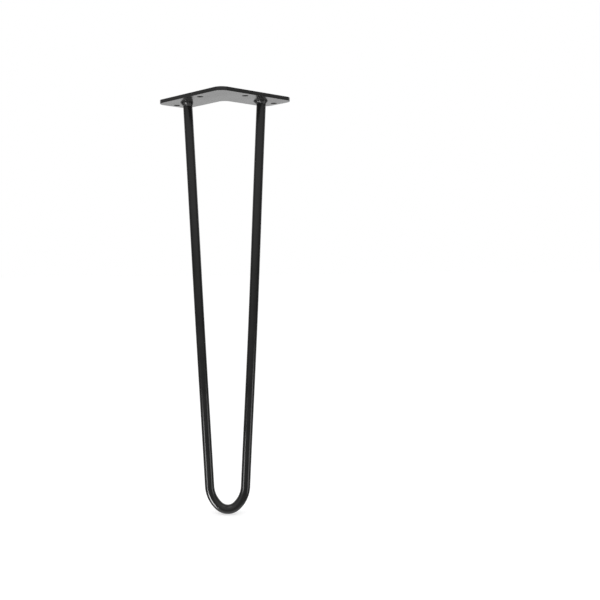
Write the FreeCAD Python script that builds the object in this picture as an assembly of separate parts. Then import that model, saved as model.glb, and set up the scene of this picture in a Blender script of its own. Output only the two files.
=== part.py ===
"""Hairpin table leg: one round steel rod bent to a narrow U and welded under an L-shaped plate.

Millimetres, Z up. The origin is on the plate's table face, at the centre of the square
where the two arms meet. X = 0 is the plane of symmetry, and the plate's outer corner
points towards -Y. Each sub-part is written to parts/NAME.step.
"""
import FreeCAD, Part
import math
import os

# Whole leg
overall_height = 450.0          # table face down to the floor
outward_lean = 2.8              # degrees, of the hairpin towards the plate's outer corner

# Mounting plate, laser cut from flat steel
plate_thickness = 4.0
arm_length = 106.0              # from the sharp outer corner to the end of an arm
arm_width = 43.5
plate_corner_radius = 10.0      # the outer corner and the four corners of the arm ends
inner_corner_radius = 8.0
plate_edge_chamfer = 0.4        # all round the outline, on both faces

# Screw holes: the near one is placed from the sharp corner, the far one from the arm's end
screw_hole_diameter = 5.0
near_hole_along = 43.0
near_hole_inward = 9.5
far_hole_from_end = 8.5
far_hole_inward = 22.0

# Hairpin rod
rod_diameter = 10.0
weld_spacing = 80.0             # between the two rod centres at the plate
weld_setback = 69.0             # from the sharp outer corner, along the diagonal
bend_width = 39.0               # between the rod centres where the bend starts
bend_depth = 25.0               # from there down to the bottom of the centre line
bend_bottom_radius = 14.0       # of the centre line at the very bottom

# Weld beads, a fillet round each rod with a crown for each puddle
bead_reach = 2.9                # out from the rod along the plate
bead_climb = 4.5                # down the rod from the plate
bead_lip = 0.15                 # thickness of the fillet where it ends on the rod
puddle_count = 11
puddle_radius = 3.4
puddle_crown = 0.55             # how far a puddle stands proud of the fillet
puddle_wander = 0.6             # how far a puddle strays up or down the fillet

# Worked out from the sizes above
rod_radius = rod_diameter / 2
lean = math.radians(outward_lean)
corner_to_origin = arm_width / math.sqrt(2)
weld_y = weld_setback - corner_to_origin
bottom_drop = (overall_height - plate_thickness - rod_radius) / math.cos(lean)
straight_drop = bottom_drop - bend_depth
taper = math.atan((weld_spacing - bend_width) / 2 / straight_drop)
trim_overrun = rod_diameter


def on_arm(side, along, inward):
    """A point on the table face: side is -1 for the left arm and 1 for the right arm."""
    x = side * (along - inward) / math.sqrt(2)
    y = (along + inward) / math.sqrt(2) - corner_to_origin
    return FreeCAD.Vector(x, y, 0)


def on_leg(across, drop):
    """A point in the hairpin's leaning plane, with drop measured down it from the plate."""
    y = weld_y - drop * math.sin(lean)
    z = -plate_thickness - drop * math.cos(lean)
    return FreeCAD.Vector(across, y, z)


def rounded_outline(corners):
    """A closed wire through (point, radius) pairs, with an arc at each point."""
    arcs = []
    for i, (corner, radius) in enumerate(corners):
        back = (corners[i - 1][0] - corner).normalize()
        ahead = (corners[(i + 1) % len(corners)][0] - corner).normalize()
        half_angle = back.getAngle(ahead) / 2
        start = corner + back * (radius / math.tan(half_angle))
        end = corner + ahead * (radius / math.tan(half_angle))
        bisector = (back + ahead).normalize()
        middle = corner + bisector * (radius / math.sin(half_angle) - radius)
        arcs.append((start, middle, end))
    edges = []
    for i, (start, middle, end) in enumerate(arcs):
        next_start = arcs[(i + 1) % len(arcs)][0]
        edges.append(Part.Arc(start, middle, end).toShape())
        edges.append(Part.makeLine(end, next_start))
    return Part.Wire(edges)


def make_mounting_plate():
    """The L, with its sharp cut edges taken off and four plain screw holes."""
    outline = rounded_outline([
        (on_arm(1, 0, 0), plate_corner_radius),
        (on_arm(1, arm_length, 0), plate_corner_radius),
        (on_arm(1, arm_length, arm_width), plate_corner_radius),
        (on_arm(1, arm_width, arm_width), inner_corner_radius),
        (on_arm(-1, arm_length, arm_width), plate_corner_radius),
        (on_arm(-1, arm_length, 0), plate_corner_radius),
    ])
    plate = Part.Face(outline).extrude(FreeCAD.Vector(0, 0, -plate_thickness))
    rims = [edge for edge in plate.Edges if edge.BoundBox.ZLength < plate_thickness / 2]
    plate = plate.makeChamfer(plate_edge_chamfer, rims)
    drill_length = 3 * plate_thickness
    for side in (-1, 1):
        for along, inward in ((near_hole_along, near_hole_inward),
                              (arm_length - far_hole_from_end, far_hole_inward)):
            drill_start = on_arm(side, along, inward) - FreeCAD.Vector(0, 0, drill_length / 2)
            plate = plate.cut(Part.makeCylinder(screw_hole_diameter / 2, drill_length, drill_start))
    return plate


def bend_arcs():
    """The bend's side arc and bottom arc, in (across, drop) pairs for the side across < 0.

    The side arc leaves the straight run and meets the smaller bottom arc with no kink.
    """
    half_width = bend_width / 2
    centre_depth = bend_depth - bend_bottom_radius
    rise = half_width ** 2 + centre_depth ** 2 - bend_bottom_radius ** 2
    run = half_width * math.cos(taper) - centre_depth * math.sin(taper) - bend_bottom_radius
    side_radius = rise / (2 * run)
    start = FreeCAD.Vector(-half_width, 0, 0)
    side_centre = start + FreeCAD.Vector(math.cos(taper), -math.sin(taper), 0) * side_radius
    bottom_centre = FreeCAD.Vector(0, centre_depth, 0)
    meet = side_centre + (bottom_centre - side_centre).normalize() * side_radius
    between = (start - side_centre).normalize() + (meet - side_centre).normalize()
    middle = side_centre + between.normalize() * side_radius
    print("side arc radius %.2f mm, bottom arc radius %.2f mm" % (side_radius, bend_bottom_radius))
    return start, middle, meet


def make_hairpin_rod():
    """The rod swept along straight run, side arc, bottom arc, side arc and straight run."""
    start, middle, meet = bend_arcs()

    def at(side, point):
        return on_leg(-side * point.x, straight_drop + point.y)

    def rod_end(side):
        across = side * (weld_spacing / 2 + trim_overrun * math.tan(taper))
        return on_leg(across, -trim_overrun)

    bottom = on_leg(0, bottom_drop)
    path = Part.Wire([
        Part.makeLine(rod_end(-1), at(-1, start)),
        Part.Arc(at(-1, start), at(-1, middle), at(-1, meet)).toShape(),
        Part.Arc(at(-1, meet), bottom, at(1, meet)).toShape(),
        Part.Arc(at(1, meet), at(1, middle), at(1, start)).toShape(),
        Part.makeLine(at(1, start), rod_end(1)),
    ])
    section = Part.Wire(Part.makeCircle(rod_radius, rod_end(-1), at(-1, start) - rod_end(-1)))
    rod = path.makePipeShell([section], True, False)
    swept = math.pi * rod_radius ** 2 * path.Length
    print("rod cut length %.1f mm, volume over section times length %.5f"
          % (path.Length - 2 * trim_overrun, rod.Volume / swept))
    return rod.cut(space_above_underside())


def space_above_underside():
    """A block that trims the rod's ends and the beads flush with the plate's underside."""
    width = 2 * arm_length
    height = 4 * trim_overrun
    return Part.makeBox(width, width, height, FreeCAD.Vector(-width / 2, -width / 2, -plate_thickness))


def make_weld_bead(side, rod):
    """A fillet round one rod end, crowned by a ring of puddles and trimmed to rod and plate."""
    slope = bead_reach / bead_climb
    root = FreeCAD.Vector(0, 0, -bead_climb)
    height = bead_climb + rod_radius
    fillet = Part.makeCone(rod_radius + bead_lip, rod_radius + bead_lip + slope * height, height, root)
    face = math.hypot(bead_reach, bead_climb)
    depth = puddle_radius - puddle_crown
    puddles = []
    for k in range(puddle_count):
        angle = 2 * math.pi * k / puddle_count
        stray = puddle_wander * math.sin(5 * angle + side)
        out = (rod_radius + bead_lip + bead_reach / 2
               + (stray * bead_reach - depth * bead_climb) / face)
        up = -bead_climb / 2 + (stray * bead_climb + depth * bead_reach) / face
        centre = FreeCAD.Vector(out * math.cos(angle), out * math.sin(angle), up)
        puddles.append(Part.makeSphere(puddle_radius, centre))
    bead = fillet.fuse(puddles)
    weld_point = on_leg(side * weld_spacing / 2, 0)
    rod_axis = weld_point - on_leg(side * bend_width / 2, straight_drop)
    bead.Placement = FreeCAD.Placement(weld_point, FreeCAD.Rotation(FreeCAD.Vector(0, 0, 1), rod_axis))
    return bead.cut([rod, space_above_underside()]).removeSplitter()


def export(name, shape):
    """Write one sub-part's single solid, after showing that it is sound."""
    solid = shape.Solids[0]
    print("%-18s solids %d, valid %s, %.1f cm3, %d faces"
          % (name, len(shape.Solids), solid.isValid(), solid.Volume / 1000, len(solid.Faces)))
    solid.exportStep("parts/" + name + ".step")


os.makedirs("parts", exist_ok=True)
hairpin_rod = make_hairpin_rod()
export("mounting_plate", make_mounting_plate())
export("hairpin_rod", hairpin_rod)
export("left_weld_bead", make_weld_bead(-1, hairpin_rod))
export("right_weld_bead", make_weld_bead(1, hairpin_rod))
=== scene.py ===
# %% [markdown]
# One hairpin table leg: a round steel rod, bent to a narrow U and welded under an L-shaped
# plate, all in black powder coat. The engineering model gives the frame: every piece here
# stays where that model puts it, in metres, with the table face at height zero and the
# floor below it. This lesson makes smoother meshes for the same forms, because the look
# of a glossy black rod lives in its reflections, and those show every facet.

# %% Load the frame
import math

import bmesh
import bpy
from mathutils import Matrix, Vector


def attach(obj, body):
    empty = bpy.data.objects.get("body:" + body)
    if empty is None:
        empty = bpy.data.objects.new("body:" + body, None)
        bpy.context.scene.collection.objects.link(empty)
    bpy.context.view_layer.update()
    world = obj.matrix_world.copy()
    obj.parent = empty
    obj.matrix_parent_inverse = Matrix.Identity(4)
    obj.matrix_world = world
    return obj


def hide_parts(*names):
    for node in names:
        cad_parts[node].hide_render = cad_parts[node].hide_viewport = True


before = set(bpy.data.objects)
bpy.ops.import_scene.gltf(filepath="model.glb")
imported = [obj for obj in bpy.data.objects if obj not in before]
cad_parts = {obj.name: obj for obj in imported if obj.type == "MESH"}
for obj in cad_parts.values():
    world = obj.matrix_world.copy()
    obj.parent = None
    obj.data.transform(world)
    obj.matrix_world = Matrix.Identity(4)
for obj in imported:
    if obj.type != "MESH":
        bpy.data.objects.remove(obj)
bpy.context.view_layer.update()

MM = 0.001                      # sizes are written in millimetres, and built in metres
scene = bpy.context.scene

# %% [markdown]
# The camera comes first, because every later choice is judged through it. The photograph
# looks almost square at the leg, from a little below the plate, so the plate's underside
# is a thin grey wedge. The leg stands left of the middle of the picture. A camera turned
# that far would show the two arms of the plate at other slopes, so it turns only a little,
# and the rest is done by shifting the lens.

# %% Camera
PIXELS = 600                    # the photograph is as wide as it is high
FOCAL_PIXELS = 850.0
LEG_PIXEL = 225.0               # the column that the lens points at
SENSOR = 36.0                   # mm
CAMERA_PLACE = (0.04983, -0.89070, -0.17285)
CAMERA_TURN, CAMERA_TILT, CAMERA_ROLL = 0.0554, -0.0495, -0.0111  # radians

camera_data = bpy.data.cameras.new("camera")
camera_data.sensor_width = SENSOR
camera_data.lens = SENSOR * FOCAL_PIXELS / PIXELS
camera_data.shift_x = (PIXELS / 2 - LEG_PIXEL) / PIXELS
camera = bpy.data.objects.new("camera", camera_data)
scene.collection.objects.link(camera)
turn = Matrix.Rotation(CAMERA_TURN, 4, "Z")
tilt = Matrix.Rotation(math.pi / 2 + CAMERA_TILT, 4, "X")
roll = Matrix.Rotation(CAMERA_ROLL, 4, "Z")
camera.matrix_world = Matrix.Translation(CAMERA_PLACE) @ turn @ tilt @ roll
scene.camera = camera
scene.view_settings.view_transform = "Standard"
print("lens %.1f mm, shift %.3f" % (camera_data.lens, camera_data.shift_x))

# %% [markdown]
# The sizes are those of the engineering model, in millimetres, except that the rod has its
# coat on. A point on the leaning U is given by how far it is across and how far down it is
# from the plate. A point on the plate is given by how far it is along an arm from the
# sharp corner, and how far in from the arm's outer edge.

# %% Sizes of the leg
HEIGHT = 450.0
PLATE = 4.0                     # thickness
ARM, ARM_WIDTH = 106.0, 43.5
ROD = 5.1                       # radius of the bar with its coat
LEAN = math.radians(2.8)        # of the U, towards the plate's outer corner
WELD_SETBACK = 69.0             # from the sharp corner, along the diagonal
SPACING = 80.0                  # between the two ends of the rod
BEND_WIDTH, BEND_DEPTH, BEND_RADIUS = 39.0, 25.0, 14.0

CORNER_TO_ORIGIN = ARM_WIDTH / math.sqrt(2)
WELD_Y = WELD_SETBACK - CORNER_TO_ORIGIN
BOTTOM_DROP = (HEIGHT - PLATE - ROD) / math.cos(LEAN)
STRAIGHT_DROP = BOTTOM_DROP - BEND_DEPTH
TAPER = math.atan((SPACING - BEND_WIDTH) / 2 / STRAIGHT_DROP)


def on_leg(across, drop):
    """A point in the plane of the U, in metres."""
    back = WELD_Y - drop * math.sin(LEAN)
    return Vector((across, back, -PLATE - drop * math.cos(LEAN))) * MM


def on_arm(side, along, inward):
    """A point on the plate, seen from above, in millimetres: side is -1 or 1."""
    x = side * (along - inward) / math.sqrt(2)
    return Vector((x, (along + inward) / math.sqrt(2) - CORNER_TO_ORIGIN))


print("straight run %.1f mm, taper %.2f degrees" % (STRAIGHT_DROP, math.degrees(TAPER)))

# %% [markdown]
# Black powder coat is a plastic skin, melted onto the steel in an oven. It isn't flat
# colour: it flows into a fine orange peel, it has a longer, slower wave where the gun laid
# it thicker, and its gloss changes a little from patch to patch. A picture of the coat
# could be wrapped round the rod, but it would show a seam, and noise that fills space has
# none. All three effects are needed on the plate, the rod and the welds, so they are two
# node groups that put out a height, a colour and a roughness. The shader itself stays in
# each material.

# %% Helpers for nodes
def new_group(name, inputs, outputs):
    """An empty shader node group with float, vector or colour sockets."""
    group = bpy.data.node_groups.new(name, "ShaderNodeTree")
    for label, kind, value in inputs:
        socket = group.interface.new_socket(label, in_out="INPUT",
                                            socket_type="NodeSocket" + kind)
        if value is not None:
            socket.default_value = value
    for label, kind in outputs:
        group.interface.new_socket(label, in_out="OUTPUT", socket_type="NodeSocket" + kind)
    return group, group.nodes.new("NodeGroupInput"), group.nodes.new("NodeGroupOutput")


def noise(tree, vector, scale, detail):
    """A noise texture whose scale comes from a socket."""
    node = tree.nodes.new("ShaderNodeTexNoise")
    node.inputs["Detail"].default_value = detail
    tree.links.new(vector, node.inputs["Vector"])
    tree.links.new(scale, node.inputs["Scale"])
    return node.outputs["Fac"]


def math_node(tree, operation, *values):
    """A math node whose values are numbers or sockets."""
    node = tree.nodes.new("ShaderNodeMath")
    node.operation = operation
    for socket, value in zip(node.inputs, values):
        if isinstance(value, (int, float)):
            socket.default_value = value
        else:
            tree.links.new(value, socket)
    return node.outputs[0]


print("node helpers:", new_group.__name__, noise.__name__, math_node.__name__)

# %% The orange peel
GRAIN_FINENESS, GRAIN_SHARE = 3.1, 0.22  # against the peel that the grain lies in


def make_orange_peel():
    """Height in millimetres: a fine peel, a finer grain in it, and a slow wave under both."""
    tree, into, out = new_group("orange_peel", [
        ("Place", "Vector", None),
        ("Peel Scale", "Float", 420.0), ("Peel Height", "Float", 0.006),
        ("Wave Scale", "Float", 70.0), ("Wave Height", "Float", 0.02),
    ], [("Height", "Float")])
    place, peel_scale = into.outputs["Place"], into.outputs["Peel Scale"]
    peel = noise(tree, place, peel_scale, 1.0)
    grain = noise(tree, place, math_node(tree, "MULTIPLY", peel_scale, GRAIN_FINENESS), 1.0)
    grain = math_node(tree, "MULTIPLY", grain, GRAIN_SHARE)
    peel = math_node(tree, "ADD", peel, grain)
    peel = math_node(tree, "MULTIPLY", peel, into.outputs["Peel Height"])
    wave = noise(tree, place, into.outputs["Wave Scale"], 1.0)
    wave = math_node(tree, "MULTIPLY", wave, into.outputs["Wave Height"])
    tree.links.new(math_node(tree, "ADD", peel, wave), out.inputs["Height"])
    return tree


orange_peel = make_orange_peel()
print("group %s of %d nodes" % (orange_peel.name, len(orange_peel.nodes)))

# %% The patches of colour and gloss
PATCH_LOW, PATCH_HIGH = 0.3, 0.7  # the part of the noise that is spread from 0 to 1
SPECK_SCALE, SPECK_RADIUS = 260.0, 0.055  # cells to a metre, and a speck's part of a cell
SPECK_COLOUR = (0.12, 0.115, 0.11, 1)
SPECK_TINT, SPECK_DULL = 0.25, 0.3  # how much of its colour shows, and what it adds to roughness


def make_coat_patches():
    """Colour and roughness that drift over the surface, with a few pale specks of dust."""
    tree, into, out = new_group("coat_patches", [
        ("Place", "Vector", None), ("Patch Scale", "Float", 40.0),
        ("Dark", "Color", (0.009, 0.009, 0.0088, 1)),
        ("Pale", "Color", (0.0135, 0.0135, 0.0132, 1)),
        ("Roughness", "Float", 0.3), ("Gloss Change", "Float", 0.06), ("Dust", "Float", 0.5),
    ], [("Color", "Color"), ("Roughness", "Float")])
    nodes, links = tree.nodes, tree.links
    place = into.outputs["Place"]
    patch = noise(tree, place, into.outputs["Patch Scale"], 3.0)
    spread = nodes.new("ShaderNodeMapRange")
    spread.inputs["From Min"].default_value = PATCH_LOW
    spread.inputs["From Max"].default_value = PATCH_HIGH
    links.new(patch, spread.inputs["Value"])
    patch = spread.outputs["Result"]
    tone = nodes.new("ShaderNodeMix")
    tone.data_type = "RGBA"
    links.new(patch, tone.inputs["Factor"])
    links.new(into.outputs["Dark"], tone.inputs["A"])
    links.new(into.outputs["Pale"], tone.inputs["B"])
    speck = nodes.new("ShaderNodeTexVoronoi")
    speck.inputs["Scale"].default_value = SPECK_SCALE
    links.new(place, speck.inputs["Vector"])
    near = math_node(tree, "LESS_THAN", speck.outputs["Distance"], SPECK_RADIUS)
    mask = math_node(tree, "MULTIPLY", near, into.outputs["Dust"])
    dusty = nodes.new("ShaderNodeMix")
    dusty.data_type = "RGBA"
    dusty.inputs["B"].default_value = SPECK_COLOUR
    links.new(math_node(tree, "MULTIPLY", mask, SPECK_TINT), dusty.inputs["Factor"])
    links.new(tone.outputs["Result"], dusty.inputs["A"])
    links.new(dusty.outputs["Result"], out.inputs["Color"])
    swing = math_node(tree, "SUBTRACT", patch, 0.5)
    swing = math_node(tree, "MULTIPLY", swing, into.outputs["Gloss Change"])
    gloss = math_node(tree, "ADD", into.outputs["Roughness"], swing)
    gloss = math_node(tree, "MULTIPLY_ADD", mask, SPECK_DULL, gloss)
    links.new(gloss, out.inputs["Roughness"])
    return tree


coat_patches = make_coat_patches()
print("group %s of %d nodes" % (coat_patches.name, len(coat_patches.nodes)))

# %% [markdown]
# All three parts hang in the same oven, but the powder doesn't lie on them alike. On the
# rod it is thin and glossy, on the flat plate a little paler and duller, and on the rough
# welds it gathers in the hollows, so its slow wave is shorter and higher there. One
# material could serve all three, but the values that suit the rod would spoil the plate.
# With the groups, three materials are as easy to build as one.

# %% The three powder coats
def powder_coat(name, peel, patches):
    """A black powder coat with its own peel and patch values."""
    material = bpy.data.materials.new(name)
    material.use_nodes = True
    nodes, links = material.node_tree.nodes, material.node_tree.links
    shader = nodes["Principled BSDF"]
    place = nodes.new("ShaderNodeTexCoord").outputs["Object"]
    skin = nodes.new("ShaderNodeGroup")
    skin.node_tree = orange_peel
    tone = nodes.new("ShaderNodeGroup")
    tone.node_tree = coat_patches
    for node, values in ((skin, peel), (tone, patches)):
        links.new(place, node.inputs["Place"])
        for label, value in values.items():
            node.inputs[label].default_value = value
    bump = nodes.new("ShaderNodeBump")
    bump.inputs["Distance"].default_value = MM
    links.new(skin.outputs["Height"], bump.inputs["Height"])
    links.new(bump.outputs["Normal"], shader.inputs["Normal"])
    links.new(tone.outputs["Color"], shader.inputs["Base Color"])
    links.new(tone.outputs["Roughness"], shader.inputs["Roughness"])
    print("material", name)
    return material


plate_coat = powder_coat(
    "plate_powder_coat",
    {"Peel Scale": 420.0, "Peel Height": 0.006, "Wave Scale": 70.0, "Wave Height": 0.012},
    {"Dark": (0.015, 0.015, 0.0147, 1), "Pale": (0.020, 0.020, 0.0196, 1),
     "Roughness": 0.25, "Gloss Change": 0.05})
rod_coat = powder_coat(
    "rod_powder_coat",
    {"Peel Scale": 420.0, "Peel Height": 0.006, "Wave Scale": 90.0, "Wave Height": 0.01},
    {"Roughness": 0.2, "Gloss Change": 0.05})
weld_coat = powder_coat(
    "weld_powder_coat",
    {"Peel Scale": 500.0, "Peel Height": 0.008, "Wave Scale": 200.0, "Wave Height": 0.03},
    {"Roughness": 0.27, "Gloss Change": 0.08})

# %% [markdown]
# The rod is one length of round bar. It could be a curve with a round bevel, but a mesh
# made ring by ring lets the two ends be cut flush with the plate and keeps the rings
# evenly turned. The U lies in one plane, so each ring is built from that plane's normal
# and the direction of travel, and nothing twists. The bar was bent by hand, so neither
# run is quite straight: each bows outward by less than a millimetre, as in the photograph.

# %% Helpers for meshes
def add_piece(name, bm, node, material, flat=()):
    """A smooth mesh object that stands for a node of the frame.

    The flat faces get sharp edges, so that they don't tilt the shading of their neighbours.
    """
    bmesh.ops.recalc_face_normals(bm, faces=bm.faces)
    for face in bm.faces:
        face.smooth = True
    for face in flat:
        for edge in face.edges:
            edge.smooth = False
    mesh = bpy.data.meshes.new(name)
    bm.to_mesh(mesh)
    bm.free()
    piece = bpy.data.objects.new(name, mesh)
    scene.collection.objects.link(piece)
    mesh.materials.append(material)
    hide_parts(node)
    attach(piece, "root")
    print("%-18s %6d faces" % (name, len(mesh.polygons)))


def bridge(bm, first, second):
    """Quads between two closed rings of the same length."""
    quads = []
    for i in range(len(first)):
        j = (i + 1) % len(first)
        quads.append(bm.faces.new((first[i], first[j], second[j], second[i])))
    return quads


print("mesh helpers:", add_piece.__name__, bridge.__name__)

# %% The path of the rod
RUN_STEPS, SIDE_STEPS, BOTTOM_STEPS = 24, 20, 16
BOW = {-1: 0.35, 1: 0.72}       # how far each run bows outward
BOW_LOWERING = 1.25             # above 1, a run bows most below its middle


def arc_points(centre, radius, start, end, count):
    """Points and directions of travel along an arc, between two angles."""
    way = math.copysign(1, end - start)
    result = []
    for k in range(count + 1):
        angle = start + (end - start) * k / count
        out = Vector((math.cos(angle), math.sin(angle)))
        result.append((centre + out * radius, Vector((-out.y, out.x)) * way))
    return result


def straight_run(side, end):
    """Points from the plate down to the bend on the left, with the bow of the given side."""
    travel = Vector((math.sin(TAPER), math.cos(TAPER)))
    top = Vector((-SPACING / 2, 0))
    points = []
    for k in range(RUN_STEPS):
        down = k / RUN_STEPS
        bow = BOW[side] * math.sin(math.pi * down ** BOW_LOWERING) ** 2
        points.append((top.lerp(end, down) - Vector((bow, 0)), travel))
    return points


def rod_path():
    """(across, drop) points with their directions: down the left run, round, and up."""
    half = BEND_WIDTH / 2
    centre_depth = BEND_DEPTH - BEND_RADIUS
    rise = half ** 2 + centre_depth ** 2 - BEND_RADIUS ** 2
    run = half * math.cos(TAPER) - centre_depth * math.sin(TAPER) - BEND_RADIUS
    side_radius = rise / (2 * run)
    start = Vector((-half, STRAIGHT_DROP))
    side_centre = start + Vector((math.cos(TAPER), -math.sin(TAPER))) * side_radius
    bottom_centre = Vector((0, STRAIGHT_DROP + centre_depth))
    meet = bottom_centre - side_centre
    meet_angle = math.atan2(meet.y, meet.x)
    start_angle = math.atan2(start.y - side_centre.y, start.x - side_centre.x)
    side_arc = arc_points(side_centre, side_radius, start_angle, meet_angle, SIDE_STEPS)
    bottom_arc = arc_points(bottom_centre, BEND_RADIUS, meet_angle, math.pi / 2, BOTTOM_STEPS)
    bend = side_arc + bottom_arc[1:]
    right = reversed((straight_run(1, start) + bend)[:-1])
    return (straight_run(-1, start) + bend
            + [(Vector((-p.x, p.y)), Vector((t.x, -t.y))) for p, t in right])


path = rod_path()
print("path of %d rings, bottom at %.2f mm" % (len(path), max(p.y for p, t in path)))

# %% The rod
ROD_SIDES = 64


def make_rod():
    """Rings along the path. The end rings are slid along the rod onto the plate."""
    bm = bmesh.new()
    sideways = on_leg(1, 0) - on_leg(0, 0)
    downward = on_leg(0, 1) - on_leg(0, 0)
    normal = sideways.cross(downward).normalized()
    rings = []
    for index, (point, travel) in enumerate(path):
        centre = on_leg(point.x, point.y)
        along = (sideways * travel.x + downward * travel.y).normalized()
        across = along.cross(normal)
        ring = []
        for k in range(ROD_SIDES):
            angle = 2 * math.pi * k / ROD_SIDES
            out = normal * math.cos(angle) + across * math.sin(angle)
            spot = centre + out * (ROD * MM)
            if index in (0, len(path) - 1):
                spot += along * ((-PLATE * MM - spot.z) / along.z)
            ring.append(bm.verts.new(spot))
        rings.append(ring)
    for first, second in zip(rings, rings[1:]):
        bridge(bm, first, second)
    ends = [bm.faces.new(rings[0]), bm.faces.new(rings[-1])]
    add_piece("rod", bm, "hairpin_rod", rod_coat, flat=ends)


make_rod()

# %% [markdown]
# The plate is cut and punched from flat steel, then coated. Paint pulls back to a soft
# round on every cut edge, and that thin round is what catches the light, so the rim is
# modelled. A block with a bevel on its edges could do it, but the corners and the holes
# need the same even steps. So each outline is drawn once, and copied inward or outward a
# little at each step over the edge. The holes are also wider below, as punched holes are.
# The flat faces are filled between the outline and the holes.

# %% The outline of the plate
CORNER, NOTCH_CORNER = 10.0, 8.0  # radii
CORNER_STEPS = 16
CORNERS = [
    (on_arm(1, 0, 0), CORNER), (on_arm(1, ARM, 0), CORNER), (on_arm(1, ARM, ARM_WIDTH), CORNER),
    (on_arm(1, ARM_WIDTH, ARM_WIDTH), NOTCH_CORNER),
    (on_arm(-1, ARM, ARM_WIDTH), CORNER), (on_arm(-1, ARM, 0), CORNER),
]


def rounded_outline(inset):
    """Points of the plate's outline, moved inward, with an arc at each corner."""
    points = []
    for i, (corner, radius) in enumerate(CORNERS):
        back = (CORNERS[i - 1][0] - corner).normalized()
        ahead = (CORNERS[(i + 1) % len(CORNERS)][0] - corner).normalized()
        half = back.angle(ahead) / 2
        in_notch = back.x * ahead.y - back.y * ahead.x > 0
        reach = radius + inset if in_notch else radius - inset
        centre = corner + (back + ahead).normalized() * (radius / math.sin(half))
        cut = radius / math.tan(half)
        first = (corner + back * cut - centre).normalized()
        last = (corner + ahead * cut - centre).normalized()
        sweep = first.angle_signed(last)
        for k in range(CORNER_STEPS + 1):
            a = -sweep * k / CORNER_STEPS
            out = Vector((first.x * math.cos(a) - first.y * math.sin(a),
                          first.x * math.sin(a) + first.y * math.cos(a)))
            points.append(centre + out * reach)
    return points


print("outline of %d points" % len(rounded_outline(0)))

# %% The screw holes
HOLE = 2.5                      # radius
HOLE_SIDES = 48
NEAR_HOLE = (43.0, 9.5)         # along the arm from the sharp corner, and in from its edge
FAR_HOLE = (ARM - 8.5, 22.0)    # placed from the arm's end
HOLES = [on_arm(side, along, inward) for side in (-1, 1)
         for along, inward in (NEAR_HOLE, FAR_HOLE)]


def hole_outline(hole, radius):
    """Points round a screw hole."""
    angles = (2 * math.pi * k / HOLE_SIDES for k in range(HOLE_SIDES))
    return [(hole.x + radius * math.cos(a), hole.y + radius * math.sin(a)) for a in angles]


print("holes at", [(round(hole.x, 1), round(hole.y, 1)) for hole in HOLES])

# %% The soft edges of the plate
RIM, HOLE_RIM = 0.22, 0.3       # radii of the soft round on the cut edges
ROUND_STEPS = 6
FLAT_RING = 0.5                 # width of a flat ring, which keeps the shading beside it flat
FLARE, FLARE_START = 0.8, 1.2   # how much wider a hole gets, and from which depth down
FLARE_STEPS = 3


def rim_steps(rim, flare=0.0):
    """(inset, height) pairs over the whole edge, from the table face to the underside."""
    angles = [math.radians(90 * k / ROUND_STEPS) for k in range(ROUND_STEPS + 1)]
    quarter = [(rim * (1 - math.sin(a)), rim * (1 - math.cos(a))) for a in angles]
    edge = [(rim + FLAT_RING, 0.0)] + quarter
    upper = [(inset, -depth) for inset, depth in edge]
    lower = [(inset + flare, depth - PLATE) for inset, depth in reversed(edge)]
    if flare:
        flare_depth = PLATE - rim - FLARE_START
        upper += [(flare * k / FLARE_STEPS, -FLARE_START - flare_depth * k / FLARE_STEPS)
                  for k in range(FLARE_STEPS)]
    return upper + lower


print("steps over the outer edge %d, through a hole %d"
      % (len(rim_steps(RIM)), len(rim_steps(HOLE_RIM, FLARE))))


# %% The plate
def make_plate():
    """The rim of the outline, the wall of each hole, and the two flat faces between them."""
    bm = bmesh.new()

    def ring(points, height):
        """Vertices at one height."""
        return [bm.verts.new(Vector((x, y, height)) * MM) for x, y in points]

    walls = [[ring(rounded_outline(inset), height) for inset, height in rim_steps(RIM)]]
    for hole in HOLES:
        walls.append([ring(hole_outline(hole, HOLE + inset), height)
                      for inset, height in rim_steps(HOLE_RIM, FLARE)])
    for rings in walls:
        for first, second in zip(rings, rings[1:]):
            bridge(bm, first, second)
    for end in (0, -1):
        edges = []
        for rings in walls:
            last = rings[end]
            edges += [bm.edges.get((last[i - 1], last[i])) for i in range(len(last))]
        bmesh.ops.triangle_fill(bm, edges=edges, use_beauty=True)
    add_piece("plate", bm, "mounting_plate", plate_coat)


make_plate()

# %% [markdown]
# Each end of the rod is held by a fillet of weld, laid by hand. A cone with a few bumps
# could stand for it, but a real one reaches further along the plate and lower down the rod
# where the torch paused. So each bead is given by eight reaches and eight climbs round the
# rod, set by its outline in the photograph, with a smooth line through them. On top of that
# runs a row of overlapping puddles. The corner that the bead fills is closed behind it.

# %% The shape of the weld beads
PUDDLES = 9
PUDDLE_RISE = 0.15              # how far a puddle stands out
PUDDLE_CURVE = 0.55             # how far its two edges lag behind its middle, in puddles
PUDDLE_FRONT = 0.8              # below 1, it is highest before its middle
FILLET_RISE = 0.24              # how far the fillet bulges between its two edges
BEADS = {
    # From the left by the back, the right and the front, all in millimetres:
    # reaches along the plate, climbs down the rod, and where the row of puddles starts
    -1: ((2.8, 2.8, 2.4, 1.6, 0.9, 2.0, 3.0, 3.1),
         (3.9, 4.0, 4.2, 4.2, 4.0, 4.7, 4.2, 4.0), 0.12),
    1: ((3.7, 2.9, 2.2, 2.2, 1.9, 2.2, 2.1, 2.5),
        (3.4, 3.2, 3.0, 3.0, 3.0, 3.8, 3.0, 2.8), 0.95),
}


def round_the_rod(values, turn):
    """A smooth closed line through the values, at a turn from 0 to 1."""
    k = math.floor(turn * len(values))
    f = turn * len(values) - k
    a, b, c, d = (values[(k + step) % len(values)] for step in (-1, 0, 1, 2))
    return b + 0.5 * f * (c - a + f * (2 * a - 5 * b + 4 * c - d + f * (3 * (b - c) + d - a)))


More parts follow.
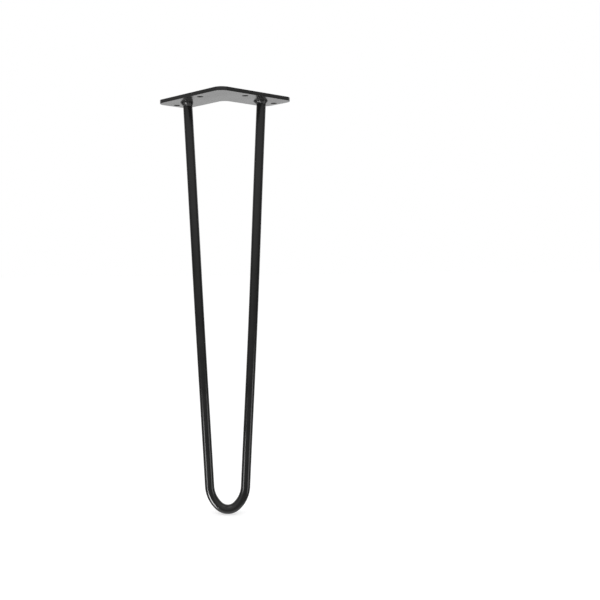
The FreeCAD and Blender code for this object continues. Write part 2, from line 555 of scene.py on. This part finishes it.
def puddle_lift(turn, up, start):
    """How far a puddle stands out, 0 to 1, at a place round the rod and up the fillet."""
    phase = turn * PUDDLES + PUDDLE_CURVE * (2 * up - 1) ** 2 + start
    k = math.floor(phase) % PUDDLES
    f = phase - math.floor(phase)
    strong = 0.7 + 0.3 * math.sin(2.4 * k + 5 * start + 3)  # no two puddles are alike
    return strong * math.sin(math.pi * f ** PUDDLE_FRONT)


for side, (reaches, climbs, start) in BEADS.items():
    print("bead %2d reaches %.1f to %.1f mm, climbs %.1f to %.1f mm"
          % (side, min(reaches), max(reaches), min(climbs), max(climbs)))

# %% The weld beads
BEAD_SIDES, BEAD_ROWS = 216, 16
REACH_CHANGE, CLIMB_CHANGE = 0.3, 0.4  # what a puddle does to the edges of the fillet, mm
LIP = 0.05                      # thickness of the fillet where it ends on the rod
BULGE_FULLNESS = 0.7            # below 1, the bulge is full up to its two edges


def make_bead(side, name, node):
    """A closed ring: toe on the plate, fillet, toe on the rod, then back along the plate."""
    bm = bmesh.new()
    reaches, climbs, start = BEADS[side]
    end = on_leg(side * SPACING / 2, 0)
    down = (on_leg(side * BEND_WIDTH / 2, STRAIGHT_DROP) - end).normalized()
    leftward = Vector((0, 1, 0)).cross(down).normalized()
    backward = down.cross(leftward)
    turns = [i / BEAD_SIDES for i in range(BEAD_SIDES)]

    def place(turn, out, drop):
        """A vertex at a distance from the rod's axis, and down from the plate along the rod."""
        angle = 2 * math.pi * turn
        spot = end + (leftward * math.cos(angle) + backward * math.sin(angle)) * (out * MM)
        return bm.verts.new(spot + down * ((-PLATE * MM - spot.z) / down.z + drop * MM))

    def ring_at(up):
        """A ring of the fillet's face, from 0 on the plate to 1 on the rod."""
        ring = []
        for turn in turns:
            reach = round_the_rod(reaches, turn)
            reach += REACH_CHANGE * (puddle_lift(turn, 0.0, start) - 0.5)
            climb = round_the_rod(climbs, turn)
            climb += CLIMB_CHANGE * (puddle_lift(turn, 1.0, start) - 0.5)
            face = math.hypot(reach, climb)
            bulge = FILLET_RISE + PUDDLE_RISE * puddle_lift(turn, up, start)
            bulge *= math.sin(math.pi * up) ** BULGE_FULLNESS
            out = ROD + LIP + reach * (1 - up) + bulge * climb / face
            ring.append(place(turn, out, climb * up + bulge * reach / face))
        return ring

    rings = [ring_at(row / BEAD_ROWS) for row in range(BEAD_ROWS + 1)]
    for first, second in zip(rings, rings[1:]):
        bridge(bm, first, second)
    corner = [place(turn, ROD, 0) for turn in turns]
    hidden = bridge(bm, rings[-1], corner) + bridge(bm, corner, rings[0])
    add_piece(name, bm, node, weld_coat, flat=hidden)


make_bead(-1, "left_bead", "left_weld_bead")
make_bead(1, "right_bead", "right_weld_bead")

# %% [markdown]
# The photograph is a cut-out on pure white, so the world and the floor are white to the
# camera. A glossy black rod is drawn by what stands round it, and the photograph shows a
# pale studio behind and below, a greyer one above, and a dark one low in front. Walls and
# cards could stand there, but they would have to be kept out of the picture. The world
# paints that studio by direction instead, for the rays that light the leg and for those
# that it mirrors, and turns pure white for rays that look at the background.

# %% Rays that look
def looking(tree, behind=1.0):
    """1 for rays that look at the background: camera, transmission, and glossy ones behind."""
    light_path = tree.nodes.new("ShaderNodeLightPath")
    mirrored = math_node(tree, "MULTIPLY", light_path.outputs["Is Glossy Ray"], behind)
    seen = math_node(tree, "MAXIMUM", light_path.outputs["Is Camera Ray"], mirrored)
    return math_node(tree, "MAXIMUM", seen, light_path.outputs["Is Transmission Ray"])


def ramp(tree, value, start, end, low=0.0, high=1.0):
    """A smooth step from low to high as a socket's value goes from start to end."""
    node = tree.nodes.new("ShaderNodeMapRange")
    node.interpolation_type = "SMOOTHSTEP"
    for label, number in (("From Min", start), ("From Max", end),
                          ("To Min", low), ("To Max", high)):
        node.inputs[label].default_value = number
    tree.links.new(value, node.inputs["Value"])
    return node.outputs["Result"]


print("world helpers:", looking.__name__, ramp.__name__)

# %% World
STUDIO_FRONT_LOW, STUDIO_ABOVE, STUDIO_BELOW = 0.18, 0.62, 0.85
STUDIO_SIDES = 0.45             # how much of that is left at the two sides
# Where each change begins and ends, by how far up, to a side or back a direction points
FRONT_TO_ABOVE, TO_THE_SIDES = (0.0, 0.18), (0.8, 0.97)
BELOW_TO_FRONT, TO_THE_BACK = (-0.85, -0.5), (0.5, 0.9)

world = bpy.data.worlds.new("studio")
scene.world = world
world.use_nodes = True
tree = world.node_tree
white = tree.nodes["Background"]
white.inputs["Color"].default_value = (1, 1, 1, 1)
direction = tree.nodes.new("ShaderNodeSeparateXYZ")
tree.links.new(tree.nodes.new("ShaderNodeTexCoord").outputs["Generated"], direction.inputs[0])
height = direction.outputs["Z"]
level = ramp(tree, height, *FRONT_TO_ABOVE, STUDIO_FRONT_LOW, STUDIO_ABOVE)
sideways = math_node(tree, "ABSOLUTE", direction.outputs["X"])
level = math_node(tree, "MULTIPLY", level, ramp(tree, sideways, *TO_THE_SIDES, 1.0, STUDIO_SIDES))
level = math_node(tree, "MAXIMUM", level, ramp(tree, height, *BELOW_TO_FRONT, STUDIO_BELOW, 0.0))
behind = ramp(tree, direction.outputs["Y"], *TO_THE_BACK)
level = math_node(tree, "MAXIMUM", level, behind)
studio = tree.nodes.new("ShaderNodeBackground")
studio.inputs["Color"].default_value = (1, 1, 1, 1)
tree.links.new(level, studio.inputs["Strength"])
mixed = tree.nodes.new("ShaderNodeMixShader")
tree.links.new(looking(tree, behind), mixed.inputs["Fac"])
tree.links.new(studio.outputs[0], mixed.inputs[1])
tree.links.new(white.outputs[0], mixed.inputs[2])
tree.links.new(mixed.outputs[0], tree.nodes["World Output"].inputs["Surface"])
print("studio levels", STUDIO_FRONT_LOW, STUDIO_ABOVE, STUDIO_BELOW)

# %% [markdown]
# The floor is a pale sheet under the leg. Its own shading keeps the soft shadow, and the
# added white lifts it to the photograph's background. The highlights on the bend point
# below the floor's level, as if the leg had hung in front of the lamps, so the floor lets
# reflections and the low lamps' light through, and only takes shadows.

# %% Floor
FLOOR_REACH = 12.0              # metres each way from the leg
FLOOR_GAP = 0.00005             # metres under the bend, so that the two don't meet
FLOOR_WHITE = 0.55

bm = bmesh.new()
bmesh.ops.create_grid(bm, x_segments=1, y_segments=1, size=FLOOR_REACH)
floor_mesh = bpy.data.meshes.new("floor")
bm.to_mesh(floor_mesh)
bm.free()
floor = bpy.data.objects.new("floor", floor_mesh)
floor.location.z = -HEIGHT * MM - FLOOR_GAP
floor.visible_glossy = False
floor.visible_shadow = False
scene.collection.objects.link(floor)
floor_paint = bpy.data.materials.new("floor_paint")
floor_paint.use_nodes = True
tree = floor_paint.node_tree
shader = tree.nodes["Principled BSDF"]
shader.inputs["Base Color"].default_value = (0.8, 0.8, 0.8, 1)
shader.inputs["Roughness"].default_value = 0.9
shader.inputs["Specular IOR Level"].default_value = 0.0
shader.inputs["Emission Color"].default_value = (1, 1, 1, 1)
glow = math_node(tree, "MULTIPLY", looking(tree), FLOOR_WHITE)
tree.links.new(glow, shader.inputs["Emission Strength"])
floor_mesh.materials.append(floor_paint)
print("floor at %.4f m" % floor.location.z)

# %% [markdown]
# In a gloss this dark, each lamp shows as a stripe or a spot of its own shape. Two large,
# weak boxes above light the leg evenly. Two small strips stand beside the foot, a little
# below its level, and draw the thin stripes on the lower half of the rod. One more, well
# below the foot on the left, draws the highlight on the bend and the spots on the welds.
# Stripes could be painted on, but they wouldn't move when the leg is seen from elsewhere.

# %% Lamps
FOOT, MIDDLE = Vector((0, 0.02, -0.43)), Vector((0, 0.02, -0.2))
LAMPS = [
    # Name, target, azimuth and elevation in degrees, distance, (width, height), radiance
    ("key", MIDDLE, -40, 55, 1.2, (0.75, 0.75), 0.9),
    ("fill", MIDDLE, 50, 50, 1.2, (0.75, 0.75), 0.5),
    ("strip_left", FOOT, -53, -12, 0.6, (0.18, 0.26), 6.3),
    ("strip_right", FOOT, 66, -8, 0.6, (0.22, 0.34), 2.4),
    ("low_left", FOOT, -47, -31, 0.6, (0.17, 0.22), 22.0),
]


def add_lamp(name, target, azimuth, elevation, distance, size, radiance):
    """A soft box that faces the target. Azimuth 0 is the camera's side, positive is right."""
    a, e = math.radians(azimuth), math.radians(elevation)
    out = Vector((math.sin(a) * math.cos(e), -math.cos(a) * math.cos(e), math.sin(e)))
    data = bpy.data.lights.new(name, "AREA")
    data.shape = "RECTANGLE"
    data.size, data.size_y = size
    data.energy = radiance * math.pi * size[0] * size[1]
    lamp = bpy.data.objects.new(name, data)
    lamp.location = target + out * distance
    lamp.rotation_euler = (-out).to_track_quat("-Z", "Y").to_euler()
    lamp.visible_camera = False
    scene.collection.objects.link(lamp)
    print("lamp %-11s %6.2f W" % (name, data.energy))


for lamp in LAMPS:
    add_lamp(*lamp)
